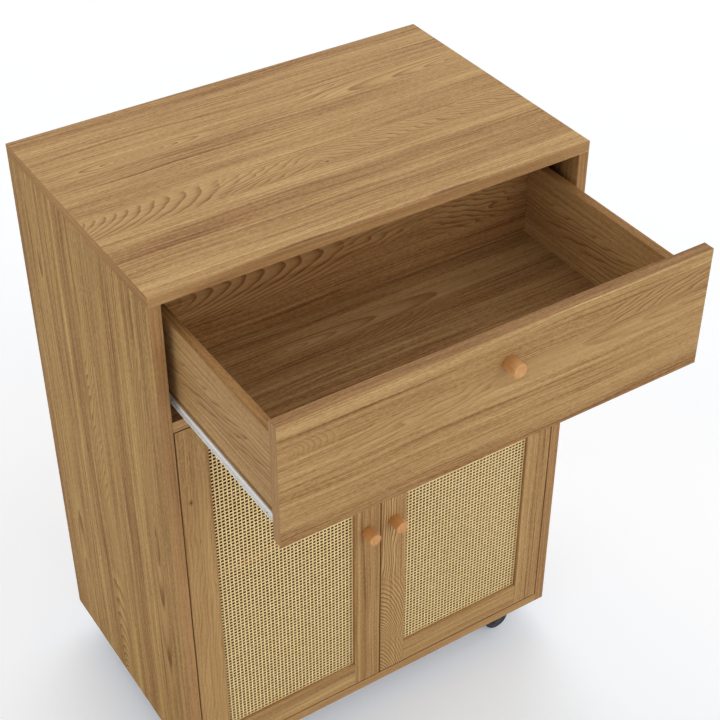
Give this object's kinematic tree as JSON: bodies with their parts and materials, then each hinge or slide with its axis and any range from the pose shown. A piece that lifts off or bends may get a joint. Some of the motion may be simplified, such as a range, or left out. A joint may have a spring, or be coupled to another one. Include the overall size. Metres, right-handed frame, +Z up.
{
  "type": "kitchen cabinet",
  "caption": "Freestanding wood-grain kitchen cabinet on swivel casters, with a roller-runner drawer shown open above cane-panel doors, round knobs and an inner shelf.",
  "frame": {"origin": "on the floor, below the middle of the box round the whole cabinet with its drawer open as pictured", "axes": "+Z up, -Y out of the drawer and door fronts, +X to the right as seen from the front"},
  "size_m": [0.6, 0.638, 0.85],
  "materials": {
    "oak_laminate": "matt wood-grain laminate on board",
    "knob_wood": "smooth matt turned hardwood",
    "cane": "natural open-weave cane webbing",
    "white_steel": "white powder coat",
    "zinc_steel": "bright zinc",
    "white_nylon": "matt",
    "black_plastic": "satin"
  },
  "bodies": {
    "carcass": {"top_panel": "oak_laminate", "left_side_panel": "oak_laminate", "right_side_panel": "oak_laminate", "divider_panel": "oak_laminate", "bottom_panel": "oak_laminate", "back_panel": "oak_laminate", "inner_shelf": "oak_laminate", "shelf_pins": "zinc_steel", "cam_locks": "zinc_steel", "left_cabinet_runner": "white_steel", "right_cabinet_runner": "white_steel", "pivot_bushes": "white_nylon", "magnetic_catches": "white_nylon", "caster_plates": "zinc_steel", "caster_screws": "zinc_steel"},
    "drawer": {"drawer_front": "oak_laminate", "drawer_left_side": "oak_laminate", "drawer_right_side": "oak_laminate", "drawer_back": "oak_laminate", "drawer_bottom": "oak_laminate", "left_drawer_runner": "white_steel", "right_drawer_runner": "white_steel", "drawer_knob": "knob_wood", "drawer_knob_screw": "zinc_steel"},
    "left_door": {"left_door_outer_stile": "oak_laminate", "left_door_inner_stile": "oak_laminate", "left_door_top_rail": "oak_laminate", "left_door_bottom_rail": "oak_laminate", "left_door_cane": "cane", "left_door_beads": "oak_laminate", "left_door_pivots": "zinc_steel", "left_door_strike": "zinc_steel", "left_door_knob": "knob_wood", "left_door_knob_screw": "zinc_steel"},
    "right_door": {"right_door_outer_stile": "oak_laminate", "right_door_inner_stile": "oak_laminate", "right_door_top_rail": "oak_laminate", "right_door_bottom_rail": "oak_laminate", "right_door_cane": "cane", "right_door_beads": "oak_laminate", "right_door_pivots": "zinc_steel", "right_door_strike": "zinc_steel", "right_door_knob": "knob_wood", "right_door_knob_screw": "zinc_steel"},
    "left_front_roller": {"left_cabinet_roller": "white_nylon"},
    "left_rear_roller": {"left_drawer_roller": "white_nylon"},
    "right_front_roller": {"right_cabinet_roller": "white_nylon"},
    "right_rear_roller": {"right_drawer_roller": "white_nylon"},
    "front_left_caster_fork": {"front_left_fork": "black_plastic", "front_left_axle": "zinc_steel"},
    "front_left_caster_wheel": {"front_left_wheel": "black_plastic"},
    "front_right_caster_fork": {"front_right_fork": "black_plastic", "front_right_axle": "zinc_steel"},
    "front_right_caster_wheel": {"front_right_wheel": "black_plastic"},
    "back_left_caster_fork": {"back_left_fork": "black_plastic", "back_left_axle": "zinc_steel"},
    "back_left_caster_wheel": {"back_left_wheel": "black_plastic"},
    "back_right_caster_fork": {"back_right_fork": "black_plastic", "back_right_axle": "zinc_steel"},
    "back_right_caster_wheel": {"back_right_wheel": "black_plastic"}
  },
  "joints": [
    {"name": "drawer_slide", "type": "slide", "parent": "carcass", "child": "drawer", "axis": [0, 1, 0], "range_m": [-0.012, 0.238]},
    {"name": "left_door_hinge", "type": "hinge", "parent": "carcass", "child": "left_door", "pos_m": [-0.2795, -0.057, 0.063], "axis": [0, 0, -1], "range_deg": [0, 100]},
    {"name": "right_door_hinge", "type": "hinge", "parent": "carcass", "child": "right_door", "pos_m": [0.2795, -0.057, 0.063], "axis": [0, 0, 1], "range_deg": [0, 100]},
    {"name": "left_front_roller_spin", "type": "hinge", "parent": "carcass", "child": "left_front_roller", "pos_m": [-0.2762, -0.032, 0.6782], "axis": [1, 0, 0], "continuous": true},
    {"name": "left_rear_roller_spin", "type": "hinge", "parent": "drawer", "child": "left_rear_roller", "pos_m": [-0.2808, 0.006, 0.67785], "axis": [1, 0, 0], "continuous": true},
    {"name": "right_front_roller_spin", "type": "hinge", "parent": "carcass", "child": "right_front_roller", "pos_m": [0.2762, -0.032, 0.6782], "axis": [1, 0, 0], "continuous": true},
    {"name": "right_rear_roller_spin", "type": "hinge", "parent": "drawer", "child": "right_rear_roller", "pos_m": [0.2808, 0.006, 0.67785], "axis": [1, 0, 0], "continuous": true},
    {"name": "front_left_swivel", "type": "hinge", "parent": "carcass", "child": "front_left_caster_fork", "pos_m": [-0.25, -0.031, 0.048], "axis": [0, 0, 1], "continuous": true},
    {"name": "front_left_wheel_spin", "type": "hinge", "parent": "front_left_caster_fork", "child": "front_left_caster_wheel", "pos_m": [-0.232, -0.031, 0.02], "axis": [0, 1, 0], "continuous": true},
    {"name": "front_right_swivel", "type": "hinge", "parent": "carcass", "child": "front_right_caster_fork", "pos_m": [0.25, -0.031, 0.048], "axis": [0, 0, 1], "continuous": true},
    {"name": "front_right_wheel_spin", "type": "hinge", "parent": "front_right_caster_fork", "child": "front_right_caster_wheel", "pos_m": [0.232, -0.031, 0.02], "axis": [0, 1, 0], "continuous": true},
    {"name": "back_left_swivel", "type": "hinge", "parent": "carcass", "child": "back_left_caster_fork", "pos_m": [-0.25, 0.274, 0.048], "axis": [0, 0, 1], "continuous": true},
    {"name": "back_left_wheel_spin", "type": "hinge", "parent": "back_left_caster_fork", "child": "back_left_caster_wheel", "pos_m": [-0.232, 0.274, 0.02], "axis": [0, 1, 0], "continuous": true},
    {"name": "back_right_swivel", "type": "hinge", "parent": "carcass", "child": "back_right_caster_fork", "pos_m": [0.25, 0.274, 0.048], "axis": [0, 0, 1], "continuous": true},
    {"name": "back_right_wheel_spin", "type": "hinge", "parent": "back_right_caster_fork", "child": "back_right_caster_wheel", "pos_m": [0.232, 0.274, 0.02], "axis": [0, 1, 0], "continuous": true}
  ],
  "couplings": [
    {"joint": "left_front_roller_spin", "follows": "drawer_slide", "rad_per_m": -181.82},
    {"joint": "left_rear_roller_spin", "follows": "drawer_slide", "rad_per_m": -166.67},
    {"joint": "right_front_roller_spin", "follows": "drawer_slide", "rad_per_m": -181.82},
    {"joint": "right_rear_roller_spin", "follows": "drawer_slide", "rad_per_m": -166.67}
  ]
}
